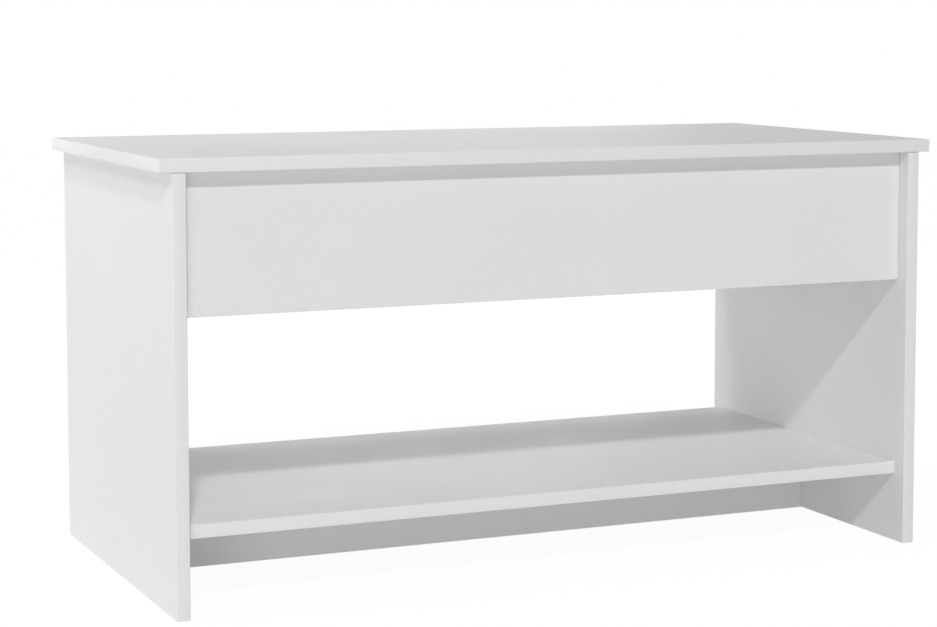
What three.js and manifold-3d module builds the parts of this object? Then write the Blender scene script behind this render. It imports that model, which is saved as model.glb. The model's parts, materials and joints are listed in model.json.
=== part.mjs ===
// Lift top coffee table: a white board carcass, and a top carried by a pair of
// sprung parallelogram lift mechanisms. Millimetres, with the top closed.
// +X runs along the table, +Y from the front to the back, +Z up.
// The origin is on the floor, under the middle of the table.

import * as THREE from 'three';
import { mergeVertices } from 'three/addons/utils/BufferGeometryUtils.js';
import Module from 'manifold-3d';

// ---------- Driving dimensions: carcass ----------
const tableLength = 1020;
const tableDepth = 500;
const tableHeight = 525;
const boardThickness = 16;
const endOverhang = 15; // top beyond each side panel
const panelInset = 1.5; // side panels in from the top's long edges
const topGap = 0.4; // air between the closed top and the carcass that it comes down on
const frontSetback = 20; // front apron and shelf, behind the side panels' front edges
const backSetback = 12.5; // back apron and shelf, ahead of the side panels' back edges
const apronBottom = 343;
const shelfTop = 105;
const fitGap = 0.3; // air between pieces that meet

// ---------- Driving dimensions: lift mechanism ----------
const armLength = 226; // pivot to pivot
const armWidth = 20;
const armDepth = 7; // depth of the pressed tray
const sheet = 2; // steel thickness
const armGap = 0.4; // air between a bracket's flange and the arms
const pivotSpacing = 70; // front pivot to rear pivot
const closedSlope = 18.5; // degrees above level, arms pointing forward
const liftSwing = 100; // degrees from closed to raised
const basePivotY = 52; // front arm's lower pivot
const basePivotZ = 417;
const bracketInnerX = 460; // inner face of both brackets' upright flanges
const topBracketLength = 231;
const topBracketNose = 15; // bracket ahead of its front pivot
const topFlangeHeight = 24.5;
const topFlangeWidth = 24;
const spareHoleInset = 22; // unused hole, from the top bracket's back end
const baseBracketFront = 32;
const baseBracketBack = 156;
const baseBracketTop = 434;
const studAlongArm = 179.6; // spring stud, measured from the lower pivot
const studOffset = 2; // spring stud, off the arm's centre line
const stopAlongArm = 14; // raised stop, along the rear arm from its lower pivot
const anchorY = 142;
const anchorZ = 378;
const springRadius = 9;
const hookLength = 12;
const hookRadius = 1.2;
const hookGap = 1; // air between a hook's solid and its post

// ---------- Driving dimensions: fasteners ----------
const pinRadius = 3;
const pinHoleRadius = 3.2;
const pinHeadRadius = 4.5;
const shoulderRadius = 6;
const pinHeadHeight = 1.6;
const studRadius = 4.5;
const studTipX = 441;
const grooveNearX = 443;
const grooveFarX = 446.2;
const grooveChamfer = 0.6;
const pinRecess = 0.1; // base pin's end, inside the bracket's outer face
const screwRadius = 1.9;
const screwHoleRadius = 2.2;
const screwHeadRadius = 4.2;
const screwHeadHeight = 2.1;
const screwCrownRadius = 2.9; // flat on top of the head
const screwRimHeight = 0.8; // straight side of the head
const screwReach = 12; // into the board
const screwPoint = 2;
const driverHoleRadius = 5.5;
const camRadius = 7.5;
const camDepth = 12;
const camSkin = 0.2; // cam face below the board's face
const camFromEnd = 34;
const apronCamZ = 425;
const storageFloorCams = [-130, 130]; // y of the cams under the storage floor
const shelfCams = [-150, 160]; // y of the cams under the lower shelf
const topScrewX = 449;
const topScrewPlaces = [-150, -61, 28]; // y of the screws up into the top
const baseScrewZ = 385;
const baseScrewPlaces = [44, 100]; // y of the screws into the side panels

// ---------- Derived places ----------
const degrees = Math.PI / 180;
const panelOuterX = tableLength / 2 - endOverhang;
const panelInnerX = panelOuterX - boardThickness;
const panelY = tableDepth / 2 - panelInset;
const undersideZ = tableHeight - boardThickness;
const panelTopZ = undersideZ - topGap;
const apronOuterY = -panelY + frontSetback;
const apronInnerY = apronOuterY + boardThickness;
const backOuterY = panelY - backSetback;
const backInnerY = backOuterY - boardThickness;
const floorTopZ = apronBottom + boardThickness;
const shelfBottomZ = shelfTop - boardThickness;
const boardEndX = panelInnerX - fitGap;

const armAngle = Math.PI - closedSlope * degrees;
const raisedAngle = armAngle - liftSwing * degrees;
const topPivotY = basePivotY + armLength * Math.cos(armAngle);
const topPivotZ = basePivotZ + armLength * Math.sin(armAngle);
const armNearX = bracketInnerX + sheet + armGap;
const armFarX = armNearX + armDepth;
const webFarX = armNearX + sheet;
const wallFarX = panelInnerX - fitGap; // base bracket's outer wall
const wallNearX = wallFarX - sheet;
const flangeFarX = bracketInnerX + sheet;
const springX = (grooveNearX + grooveFarX) / 2;
const camX = panelInnerX - camFromEnd;
const pocketRadius = camRadius + fitGap;
const pocketDepth = camDepth + fitGap;
const sides = [-1, 1]; // left, right

const table = new THREE.Group();

// ---------- Materials ----------
const finishes = {
  melamine: { color: 0xe4e3e1, roughness: 0.55, metalness: 0 },
  zincSteel: { color: 0xb0b2b4, roughness: 0.42, metalness: 0.85 },
  springSteel: { color: 0x9a9ca0, roughness: 0.35, metalness: 0.9 },
  dieCastZinc: { color: 0xa6a8aa, roughness: 0.5, metalness: 0.8 },
};

function addPart(name, geometry, finish, parent = table) {
  const material = new THREE.MeshStandardMaterial(finishes[finish]);
  const mesh = new THREE.Mesh(geometry, material);
  mesh.name = name;
  parent.add(mesh);
  return mesh;
}

function sideName(side) {
  return side > 0 ? 'right' : 'left';
}

// ---------- Boolean cuts ----------
const wasm = await Module();
wasm.setup();

function toSolid(geometry) {
  const bare = geometry.clone();
  bare.deleteAttribute('normal');
  bare.deleteAttribute('uv');
  const merged = mergeVertices(bare);
  const vertProperties = new Float32Array(merged.attributes.position.array);
  const triVerts = new Uint32Array(merged.index.array);
  return new wasm.Manifold(new wasm.Mesh({ numProp: 3, vertProperties, triVerts }));
}

function cut(geometry, tools) {
  let solid = toSolid(geometry);
  for (const tool of tools) {
    solid = solid.subtract(toSolid(tool));
  }
  const mesh = solid.getMesh();
  const result = new THREE.BufferGeometry();
  result.setAttribute('position', new THREE.Float32BufferAttribute(mesh.vertProperties, 3));
  result.setIndex(new THREE.Uint32BufferAttribute(mesh.triVerts, 1));
  return result;
}

// ---------- Shape helpers ----------
const axisX = new THREE.Vector3(1, 0, 0);
const axisY = new THREE.Vector3(0, 1, 0);
const axisZ = new THREE.Vector3(0, 0, 1);
const holeFacets = 16;
const pinFacets = 12;
const screwFacets = 10;
const springFacets = 16;
const roundEndFacets = 8; // in each half of an arm's round end
const overcut = 1; // a hole's tool reaches this far past the faces it cuts

// A round bar between two places along one axis, at fixed places on the other two.
function barAlongX(x0, x1, y, z, radius) {
  const bar = new THREE.CylinderGeometry(radius, radius, x1 - x0, holeFacets);
  return bar.rotateZ(Math.PI / 2).translate((x0 + x1) / 2, y, z);
}

function barAlongY(y0, y1, x, z, radius) {
  const bar = new THREE.CylinderGeometry(radius, radius, y1 - y0, holeFacets);
  return bar.translate(x, (y0 + y1) / 2, z);
}

function barAlongZ(z0, z1, x, y, radius) {
  const bar = new THREE.CylinderGeometry(radius, radius, z1 - z0, holeFacets);
  return bar.rotateX(Math.PI / 2).translate(x, y, (z0 + z1) / 2);
}

// A hole through a wall across one side of the table, the wall given by its distances from the middle.
function holeAcross(side, nearX, farX, y, z, radius) {
  const ends = [side * (nearX - overcut), side * (farX + overcut)];
  return barAlongX(Math.min(...ends), Math.max(...ends), y, z, radius);
}

// An outline in (y, z), extruded across the table between two distances from its middle.
function plateAcross(side, outline, nearX, farX) {
  const settings = { depth: farX - nearX, bevelEnabled: false, curveSegments: roundEndFacets };
  const plate = new THREE.ExtrudeGeometry(outline, settings);
  plate.applyMatrix4(new THREE.Matrix4().makeBasis(axisY, axisZ, axisX));
  return plate.translate(side > 0 ? nearX : -farX, 0, 0);
}

// An outline in (x, z), extruded from a front edge to a back edge.
function sectionAlongY(outline, frontY, backY) {
  const section = new THREE.ExtrudeGeometry(outline, { depth: backY - frontY, bevelEnabled: false });
  section.applyMatrix4(new THREE.Matrix4().makeBasis(axisX, axisZ, axisY.clone().negate()));
  return section.translate(0, backY, 0);
}

function outlineOf(points) {
  return new THREE.Shape(points.map(([u, v]) => new THREE.Vector2(u, v)));
}

// A turned piece lying across the table: profile points are [radius, distance from the middle].
function turnedAcross(side, profile) {
  const points = profile.map(([radius, x]) => new THREE.Vector2(radius, x));
  return new THREE.LatheGeometry(points, pinFacets).rotateZ((-side * Math.PI) / 2);
}

// ---------- Boards ----------
function board(low, high) {
  const size = high.map((value, axis) => value - low[axis]);
  const middle = high.map((value, axis) => (value + low[axis]) / 2);
  return new THREE.BoxGeometry(...size).translate(...middle);
}

// A cam lock and its pocket, sunk into a board from the face at `face` towards `inward`.
function addCam(name, axis, x, across, face, inward) {
  const bar = axis === 'y' ? barAlongY : barAlongZ;
  const span = (from, to) => [Math.min(from, to), Math.max(from, to)];
  const camSpan = span(face + inward * camSkin, face + inward * camDepth);
  const pocketSpan = span(face - inward * overcut, face + inward * pocketDepth);
  addPart(name, bar(...camSpan, x, across, camRadius), 'dieCastZinc');
  return bar(...pocketSpan, x, across, pocketRadius);
}

function addTopPanel() {
  const geometry = board(
    [-tableLength / 2, -tableDepth / 2, undersideZ],
    [tableLength / 2, tableDepth / 2, tableHeight],
  );
  const pilots = [];
  for (const side of sides) {
    for (const y of topScrewPlaces) {
      const ends = [undersideZ - overcut, undersideZ + screwReach + overcut];
      pilots.push(barAlongZ(...ends, side * topScrewX, y, screwHoleRadius));
    }
  }
  addPart('top_panel', cut(geometry, pilots), 'melamine');
}

function addSidePanel(side) {
  const inner = side * panelInnerX;
  const outer = side * panelOuterX;
  const geometry = board(
    [Math.min(inner, outer), -panelY, 0],
    [Math.max(inner, outer), panelY, panelTopZ],
  );
  const pilots = baseScrewPlaces.map((y) =>
    holeAcross(side, panelInnerX, panelInnerX + screwReach, y, baseScrewZ, screwHoleRadius));
  addPart(`side_panel_${sideName(side)}`, cut(geometry, pilots), 'melamine');
}

function addAprons() {
  const frontPockets = [];
  const backPockets = [];
  for (const side of sides) {
    const x = side * camX;
    frontPockets.push(addCam(`front_apron_cam_${sideName(side)}`, 'y', x, apronCamZ, apronInnerY, -1));
    backPockets.push(addCam(`back_apron_cam_${sideName(side)}`, 'y', x, apronCamZ, backInnerY, 1));
  }
  const front = board([-boardEndX, apronOuterY, apronBottom], [boardEndX, apronInnerY, panelTopZ]);
  const back = board([-boardEndX, backInnerY, apronBottom], [boardEndX, backOuterY, panelTopZ]);
  addPart('front_apron', cut(front, frontPockets), 'melamine');
  addPart('back_apron', cut(back, backPockets), 'melamine');
}

// A level board held by four cam locks from below.
function addLevelBoard(name, frontY, backY, bottomZ, camPlaces) {
  const pockets = [];
  for (const side of sides) {
    camPlaces.forEach((y, index) => {
      const label = `${name}_cam_${sideName(side)}_${index === 0 ? 'front' : 'back'}`;
      pockets.push(addCam(label, 'z', side * camX, y, bottomZ, 1));
    });
  }
  const geometry = board([-boardEndX, frontY, bottomZ], [boardEndX, backY, bottomZ + boardThickness]);
  addPart(name, cut(geometry, pockets), 'melamine');
}

function addKickBoard() {
  const camZ = shelfBottomZ / 2;
  const geometry = board([-boardEndX, 0, 0], [boardEndX, boardThickness, shelfBottomZ - fitGap]);
  const pockets = sides.map((side) =>
    addCam(`kick_board_cam_${sideName(side)}`, 'y', side * camX, camZ, boardThickness, -1));
  addPart('kick_board', cut(geometry, pockets), 'melamine');
}

// ---------- Lift mechanism ----------
// Its pieces lie across the table in layers: the brackets' upright flanges inside,
// the arms next to them, and the base bracket's outer wall against the side panel.

function stadium(length, radius) {
  const outline = new THREE.Shape();
  outline.absarc(length, 0, radius, -Math.PI / 2, Math.PI / 2, false);
  outline.absarc(0, 0, radius, Math.PI / 2, 1.5 * Math.PI, false);
  return outline;
}

// A pressed arm: a flat web towards the table's middle, with a raised rim all round.
function armGeometry(side, extraHoles) {
  const blank = plateAcross(side, stadium(armLength, armWidth / 2), armNearX, armFarX);
  const hollow = plateAcross(side, stadium(armLength, armWidth / 2 - sheet), webFarX, armFarX + overcut);
  const holes = [[0, 0], [armLength, 0], ...extraHoles].map(([y, z]) =>
    holeAcross(side, armNearX, webFarX, y, z, pinHoleRadius));
  return cut(blank, [hollow, ...holes]);
}

function addArms(side) {
  const stud = [studAlongArm, -studOffset];
  const arms = [
    ['front', basePivotY, [stud]],
    ['rear', basePivotY + pivotSpacing, []],
  ];
  for (const [label, pivotY, extraHoles] of arms) {
    const swing = new THREE.Group();
    swing.position.set(0, pivotY, basePivotZ);
    swing.rotation.x = armAngle;
    addPart(`${label}_arm_${sideName(side)}`, armGeometry(side, extraHoles), 'zincSteel', swing);
    if (label === 'front') {
      const post = springPost(side, armNearX, webFarX);
      addPart(`spring_stud_${sideName(side)}`, post, 'zincSteel', swing).position.set(0, ...stud);
    }
    table.add(swing);
  }
}

// A post for the spring's hook: grooved near its tip, and riveted through a steel plate.
function springPost(side, plateNearX, plateFarX) {
  return turnedAcross(side, [
    [0, studTipX],
    [studRadius, studTipX],
    [studRadius, grooveNearX - grooveChamfer],
    [pinRadius, grooveNearX],
    [pinRadius, grooveFarX],
    [studRadius, grooveFarX + grooveChamfer],
    [studRadius, plateNearX - fitGap],
    [pinRadius, plateNearX - fitGap],
    [pinRadius, plateFarX + fitGap],
    [pinHeadRadius, plateFarX + fitGap],
    [pinHeadRadius, plateFarX + fitGap + pinHeadHeight],
    [0, plateFarX + fitGap + pinHeadHeight],
  ]);
}

// The head that every pin shows on the inner face of its bracket.
const headNearX = bracketInnerX - fitGap;
const innerHead = [
  [0, headNearX - pinHeadHeight],
  [pinHeadRadius, headNearX - pinHeadHeight],
  [pinHeadRadius, headNearX],
  [pinRadius, headNearX],
];

// A short rivet through the top bracket's flange and an arm's web.
function topRivet(side) {
  return turnedAcross(side, [
    ...innerHead,
    [pinRadius, webFarX + fitGap],
    [pinHeadRadius, webFarX + fitGap],
    [pinHeadRadius, webFarX + fitGap + pinHeadHeight],
    [0, webFarX + fitGap + pinHeadHeight],
  ]);
}

// A shouldered pin from wall to wall of the base bracket, which spaces the arm off the outer wall.
function basePin(side) {
  return turnedAcross(side, [
    ...innerHead,
    [pinRadius, webFarX + fitGap],
    [shoulderRadius, webFarX + fitGap],
    [shoulderRadius, wallNearX - fitGap],
    [pinRadius, wallNearX - fitGap],
    [pinRadius, wallFarX - pinRecess],
    [0, wallFarX - pinRecess],
  ]);
}

// The pin that the rear arm's back edge comes to rest on when the top is raised.
const stopAcross = armWidth / 2 + pinRadius + fitGap;
const stopY = basePivotY + pivotSpacing
  + stopAlongArm * Math.cos(raisedAngle) + stopAcross * Math.sin(raisedAngle);
const stopZ = basePivotZ + stopAlongArm * Math.sin(raisedAngle) - stopAcross * Math.cos(raisedAngle);

function raiseStop(side) {
  return turnedAcross(side, [
    ...innerHead,
    [pinRadius, armFarX],
    [0, armFarX],
  ]);
}

// A U of sheet steel on the storage floor, screwed to the side panel, which both arms stand in.
function addBaseBracket(side) {
  const bottom = floorTopZ + fitGap;
  const outline = outlineOf([
    [side * bracketInnerX, bottom],
    [side * wallFarX, bottom],
    [side * wallFarX, baseBracketTop],
    [side * wallNearX, baseBracketTop],
    [side * wallNearX, bottom + sheet],
    [side * flangeFarX, bottom + sheet],
    [side * flangeFarX, baseBracketTop],
    [side * bracketInnerX, baseBracketTop],
  ]);
  const channel = sectionAlongY(outline, baseBracketFront, baseBracketBack);
  const holes = [
    holeAcross(side, bracketInnerX, wallFarX, basePivotY, basePivotZ, pinHoleRadius),
    holeAcross(side, bracketInnerX, wallFarX, basePivotY + pivotSpacing, basePivotZ, pinHoleRadius),
    holeAcross(side, bracketInnerX, flangeFarX, stopY, stopZ, pinHoleRadius),
    holeAcross(side, bracketInnerX, flangeFarX, anchorY, anchorZ, pinHoleRadius),
  ];
  for (const y of baseScrewPlaces) {
    holes.push(holeAcross(side, bracketInnerX, flangeFarX, y, baseScrewZ, driverHoleRadius));
    holes.push(holeAcross(side, wallNearX, wallFarX, y, baseScrewZ, screwHoleRadius));
  }
  addPart(`base_bracket_${sideName(side)}`, cut(channel, holes), 'zincSteel');
}

// An angle of sheet steel under the top: one flange hangs down, the other is screwed up.
function addTopBracket(side) {
  const top = undersideZ - fitGap;
  const frontY = topPivotY - topBracketNose;
  const outline = outlineOf([
    [side * flangeFarX, top],
    [side * (flangeFarX - topFlangeWidth), top],
    [side * (flangeFarX - topFlangeWidth), top - sheet],
    [side * bracketInnerX, top - sheet],
    [side * bracketInnerX, top - topFlangeHeight],
    [side * flangeFarX, top - topFlangeHeight],
  ]);
  const angle = sectionAlongY(outline, frontY, frontY + topBracketLength);
  const spareHoleY = frontY + topBracketLength - spareHoleInset;
  const pivotPlaces = [topPivotY, topPivotY + pivotSpacing, spareHoleY];
  const holes = pivotPlaces.map((y) =>
    holeAcross(side, bracketInnerX, flangeFarX, y, topPivotZ, pinHoleRadius));
  for (const y of topScrewPlaces) {
    holes.push(barAlongZ(top - sheet - overcut, top + overcut, side * topScrewX, y, screwHoleRadius));
  }
  addPart(`top_bracket_${sideName(side)}`, cut(angle, holes), 'zincSteel');
}

function addPins(side) {
  const places = [
    ['base_pin_front', basePin, basePivotY, basePivotZ],
    ['base_pin_rear', basePin, basePivotY + pivotSpacing, basePivotZ],
    ['top_rivet_front', topRivet, topPivotY, topPivotZ],
    ['top_rivet_rear', topRivet, topPivotY + pivotSpacing, topPivotZ],
    ['raise_stop', raiseStop, stopY, stopZ],
  ];
  for (const [label, make, y, z] of places) {
    addPart(`${label}_${sideName(side)}`, make(side), 'zincSteel').position.set(0, y, z);
  }
  const anchor = springPost(side, bracketInnerX, flangeFarX);
  addPart(`spring_anchor_${sideName(side)}`, anchor, 'zincSteel').position.set(0, anchorY, anchorZ);
}

// A round-headed wood screw along +Z, with its head's bearing face at the origin.
function screwGeometry(reach) {
  const profile = [
    [0, -screwHeadHeight],
    [screwCrownRadius, -screwHeadHeight],
    [screwHeadRadius, -screwRimHeight],
    [screwHeadRadius, 0],
    [screwRadius, 0],
    [screwRadius, reach - screwPoint],
    [0, reach],
  ];
  const points = profile.map(([radius, z]) => new THREE.Vector2(radius, z));
  return new THREE.LatheGeometry(points, screwFacets).rotateX(Math.PI / 2);
}

function addScrews(side) {
  const reach = screwReach + sheet + fitGap;
  topScrewPlaces.forEach((y, index) => {
    const label = `top_screw_${sideName(side)}_${index + 1}`;
    const screw = addPart(label, screwGeometry(reach), 'zincSteel');
    screw.position.set(side * topScrewX, y, undersideZ - sheet - 2 * fitGap);
  });
  baseScrewPlaces.forEach((y, index) => {
    const label = `base_screw_${sideName(side)}_${index + 1}`;
    const screw = addPart(label, screwGeometry(reach), 'zincSteel');
    screw.rotation.y = (side * Math.PI) / 2;
    screw.position.set(side * (wallNearX - fitGap), y, baseScrewZ);
  });
}

// The coiled tension spring, closed: stretched from the anchor to the stud on the front arm.
const studY = basePivotY + studAlongArm * Math.cos(armAngle) + studOffset * Math.sin(armAngle);
const studZ = basePivotZ + studAlongArm * Math.sin(armAngle) - studOffset * Math.cos(armAngle);
const springLength = Math.hypot(studY - anchorY, studZ - anchorZ);
const springAngle = Math.atan2(studZ - anchorZ, studY - anchorY);

function addSpring(side) {
  const hookStart = pinRadius + hookGap;
  const profile = [
    [0, hookStart],
    [hookRadius, hookStart],
    [hookRadius, hookLength],
    [springRadius, hookLength],
    [springRadius, springLength - hookLength],
    [hookRadius, springLength - hookLength],
    [hookRadius, springLength - hookStart],
    [0, springLength - hookStart],
  ];
  const points = profile.map(([radius, y]) => new THREE.Vector2(radius, y));
  const geometry = new THREE.LatheGeometry(points, springFacets);
  const spring = addPart(`spring_${sideName(side)}`, geometry, 'springSteel');
  spring.position.set(side * springX, anchorY, anchorZ);
  spring.rotation.x = springAngle;
}

// ---------- Assembly ----------
addTopPanel();
addAprons();
addLevelBoard('storage_floor', apronInnerY + fitGap, backInnerY - fitGap, apronBottom, storageFloorCams);
addLevelBoard('lower_shelf', apronOuterY, backOuterY, shelfBottomZ, shelfCams);
addKickBoard();
for (const side of sides) {
  addSidePanel(side);
  addBaseBracket(side);
  addTopBracket(side);
  addArms(side);
  addPins(side);
  addScrews(side);
  addSpring(side);
}

export default table;
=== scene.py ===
import json
import math

import bmesh
import bpy
from mathutils import Matrix, Vector

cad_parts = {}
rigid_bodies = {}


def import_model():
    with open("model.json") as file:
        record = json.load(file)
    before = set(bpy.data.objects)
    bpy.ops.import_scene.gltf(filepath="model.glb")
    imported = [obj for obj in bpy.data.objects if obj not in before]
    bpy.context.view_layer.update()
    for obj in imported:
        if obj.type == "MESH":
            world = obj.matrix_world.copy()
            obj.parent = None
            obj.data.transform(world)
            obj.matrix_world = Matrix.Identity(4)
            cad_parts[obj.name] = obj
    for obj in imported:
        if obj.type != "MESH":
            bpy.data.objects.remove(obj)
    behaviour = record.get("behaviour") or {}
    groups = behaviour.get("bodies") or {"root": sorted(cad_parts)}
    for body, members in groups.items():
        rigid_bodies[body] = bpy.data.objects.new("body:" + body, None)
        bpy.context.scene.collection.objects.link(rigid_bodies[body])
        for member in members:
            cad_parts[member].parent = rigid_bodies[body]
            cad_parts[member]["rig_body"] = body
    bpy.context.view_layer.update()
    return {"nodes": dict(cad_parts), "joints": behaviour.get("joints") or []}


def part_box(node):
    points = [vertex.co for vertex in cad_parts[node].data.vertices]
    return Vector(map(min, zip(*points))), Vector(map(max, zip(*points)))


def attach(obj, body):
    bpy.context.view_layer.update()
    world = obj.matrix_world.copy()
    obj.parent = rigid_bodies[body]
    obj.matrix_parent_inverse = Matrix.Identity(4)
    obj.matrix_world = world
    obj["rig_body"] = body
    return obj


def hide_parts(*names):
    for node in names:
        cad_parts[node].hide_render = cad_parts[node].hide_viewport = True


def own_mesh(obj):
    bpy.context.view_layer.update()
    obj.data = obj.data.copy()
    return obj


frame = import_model()
mm = 0.001
quarterTurn = math.pi / 2
sideNames = ("right", "left")
mirrorAcross = Matrix.Scale(-1, 4, (1, 0, 0))  # right-hand pieces to left-hand ones
print("frame loaded:", len(frame["nodes"]), "nodes")


# camera: a long lens in front of the table's left end, tipped down a little
cameraValues = {
    "place": (-1.2321, -2.7715, 0.6839),
    "tip": 85.013,  # degrees up from straight down
    "turn": -24.155,  # degrees, towards the table's right end
    "lens": 90.171,
    "shift": (-0.0289, -0.1),
}


def addCamera():
    values = cameraValues
    aim = (math.radians(values["tip"]), 0, math.radians(values["turn"]))
    bpy.ops.object.camera_add(location=values["place"], rotation=aim)
    camera = bpy.context.object
    camera.data.lens = values["lens"]
    camera.data.shift_x, camera.data.shift_y = values["shift"]
    bpy.context.scene.camera = camera


bpy.ops.object.select_all(action="DESELECT")
addCamera()
print("camera set")


# shader maths: a Field is one socket, and sums on Fields add Math nodes beside it
class Field:
    def __init__(self, socket):
        self.socket = socket

    def worked(self, operation, first, second):
        tree = self.socket.id_data
        made = tree.nodes.new("ShaderNodeMath")
        made.operation = operation
        for place, value in enumerate((first, second)):
            if isinstance(value, Field):
                tree.links.new(value.socket, made.inputs[place])
            else:
                made.inputs[place].default_value = value
        return Field(made.outputs[0])

    def __add__(self, other):
        return self.worked("ADD", self, other)

    def __radd__(self, other):
        return self.worked("ADD", other, self)

    def __sub__(self, other):
        return self.worked("SUBTRACT", self, other)

    def __rsub__(self, other):
        return self.worked("SUBTRACT", other, self)

    def __mul__(self, other):
        return self.worked("MULTIPLY", self, other)

    def __rmul__(self, other):
        return self.worked("MULTIPLY", other, self)


class Graph:
    def __init__(self, owner):
        owner.use_nodes = True
        self.tree = owner.node_tree
        self.tree.nodes.clear()

    # any node: its type, its settings, its sockets' values or links, and the output that is wanted from it
    def node(self, kind, settings=None, sockets=None, output=0):
        made = self.tree.nodes.new("ShaderNode" + kind)
        for name, value in (settings or {}).items():
            setattr(made, name, value)
        for name, value in (sockets or {}).items():
            if isinstance(value, Field):
                self.tree.links.new(value.socket, made.inputs[name])
            else:
                made.inputs[name].default_value = value
        return None if output is None else Field(made.outputs[output])

    # object coordinates, stretched along an axis by a smaller number on it
    def place(self, stretch=(1, 1, 1)):
        here = self.node("TexCoord", output="Object")
        return self.node("Mapping", sockets={"Vector": here, "Scale": stretch})

    def noise(self, scale, detail=2, stretch=(1, 1, 1)):
        sockets = {"Vector": self.place(stretch), "Scale": scale, "Detail": detail}
        return self.node("TexNoise", sockets=sockets)

    def cells(self, scale):
        sockets = {"Vector": self.place(), "Scale": scale}
        return self.node("TexVoronoi", sockets=sockets, output="Distance")

    # part of a value's range, spread out from 0 to 1 and held inside it
    def spread(self, value, part):
        sockets = {"Value": value, "From Min": part[0], "From Max": part[1]}
        return self.node("MapRange", {"clamp": True}, sockets)

    # two colours mixed: the node's colour sockets have numbers, because its names repeat
    def mix(self, factor, first, second):
        sockets = {0: factor, 6: (*first, 1), 7: (*second, 1)}
        return self.node("Mix", {"data_type": "RGBA"}, sockets, output=2)

    def bump(self, height, distance, strength=1, normal=None):
        sockets = {"Height": height, "Distance": distance, "Strength": strength}
        if normal is not None:
            sockets["Normal"] = normal
        return self.node("Bump", sockets=sockets)

    def surface(self, sockets):
        shader = self.node("BsdfPrincipled", sockets=sockets)
        self.node("OutputMaterial", sockets={"Surface": shader}, output=None)


# matt white melamine: pearled by its press plate, with a few faint rubbed patches
facingValues = {
    "light": (0.845, 0.845, 0.842),
    "shade": (0.815, 0.815, 0.812),
    "roughness": 0.44,
    "specular": 0.42,
    "cloudScale": 5,
    "cloudRange": (0.35, 0.65),
    "cloudShare": 0.5,  # a share is a pattern's part in the darker colour
    "cloudRough": 0.05,
    "speckScale": 420,
    "speckRange": (0.62, 0.72),
    "speckShare": 0.3,
    "rubScale": 14,
    "rubStretch": (0.35, 1, 1),
    "rubRange": (0.56, 0.74),
    "rubShare": 0.2,
    "rubPolish": 0.07,
    "pearlScale": 1300,
    "pearlDepth": 0.00006,
    "pearlStrength": 0.35,
    "pearlRough": 0.06,
    "waveScale": 55,
    "waveDepth": 0.00012,
    "waveStrength": 0.5,
}


def makeFacing():
    values = facingValues
    material = bpy.data.materials.new("white_melamine_facing")
    graph = Graph(material)
    cloud = graph.spread(graph.noise(values["cloudScale"], 3), values["cloudRange"])
    speck = graph.spread(graph.noise(values["speckScale"], 1), values["speckRange"])
    rub = graph.spread(graph.noise(values["rubScale"], 4, values["rubStretch"]), values["rubRange"])
    pearl = graph.noise(values["pearlScale"], 1)
    wave = graph.noise(values["waveScale"], 2)
    shade = cloud * values["cloudShare"] + speck * values["speckShare"] + rub * values["rubShare"]
    roughness = (values["roughness"] + cloud * values["cloudRough"] + pearl * values["pearlRough"]
                 - rub * values["rubPolish"])
    waved = graph.bump(wave, values["waveDepth"], values["waveStrength"])
    graph.surface({
        "Base Color": graph.mix(shade, values["light"], values["shade"]),
        "Roughness": roughness,
        "Normal": graph.bump(pearl, values["pearlDepth"], values["pearlStrength"], waved),
        "Specular IOR Level": values["specular"],
    })
    return material


# glued edge banding: smoother than the facing, with faint drawn lines along it
bandValues = {
    "light": (0.850, 0.850, 0.848),
    "shade": (0.815, 0.815, 0.812),
    "roughness": 0.36,
    "specular": 0.45,
    "cloudScale": 9,
    "cloudRange": (0.35, 0.65),
    "cloudShare": 0.4,
    "cloudRough": 0.05,
    "lineScale": 900,
    "lineStretch": (0.02, 0.02, 1),
    "lineDepth": 0.00004,
    "lineStrength": 0.35,
    "scuffScale": 120,
    "scuffRange": (0.6, 0.75),
    "scuffShare": 0.5,
    "scuffRough": 0.12,
    "scuffHeight": 0.4,
}


def makeBand():
    values = bandValues
    material = bpy.data.materials.new("white_edge_band")
    graph = Graph(material)
    cloud = graph.spread(graph.noise(values["cloudScale"], 3), values["cloudRange"])
    lines = graph.noise(values["lineScale"], 2, values["lineStretch"])
    scuff = graph.spread(graph.noise(values["scuffScale"], 4), values["scuffRange"])
    shade = cloud * values["cloudShare"] + scuff * values["scuffShare"]
    height = lines + scuff * values["scuffHeight"]
    graph.surface({
        "Base Color": graph.mix(shade, values["light"], values["shade"]),
        "Roughness": values["roughness"] + cloud * values["cloudRough"] + scuff * values["scuffRough"],
        "Normal": graph.bump(height, values["lineDepth"], values["lineStrength"]),
        "Specular IOR Level": values["specular"],
    })
    return material


# pressed wood chips, where a board is sawn or drilled
coreValues = {
    "light": (0.60, 0.46, 0.29),
    "dark": (0.30, 0.20, 0.11),
    "roughness": 0.82,
    "chipScale": 520,
    "chipShare": 0.7,
    "grainScale": 260,
    "grainStretch": (1, 1, 3),
    "grainShare": 0.4,
    "grainRough": 0.12,
    "depth": 0.0003,
    "strength": 0.7,
}


def makeCore():
    values = coreValues
    material = bpy.data.materials.new("chipboard_core")
    graph = Graph(material)
    chip = graph.cells(values["chipScale"])
    grain = graph.noise(values["grainScale"], 4, values["grainStretch"])
    tone = chip * values["chipShare"] + grain * values["grainShare"]
    graph.surface({
        "Base Color": graph.mix(tone, values["light"], values["dark"]),
        "Roughness": values["roughness"] + grain * values["grainRough"],
        "Normal": graph.bump(chip + grain, values["depth"], values["strength"]),
    })
    return material


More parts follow.
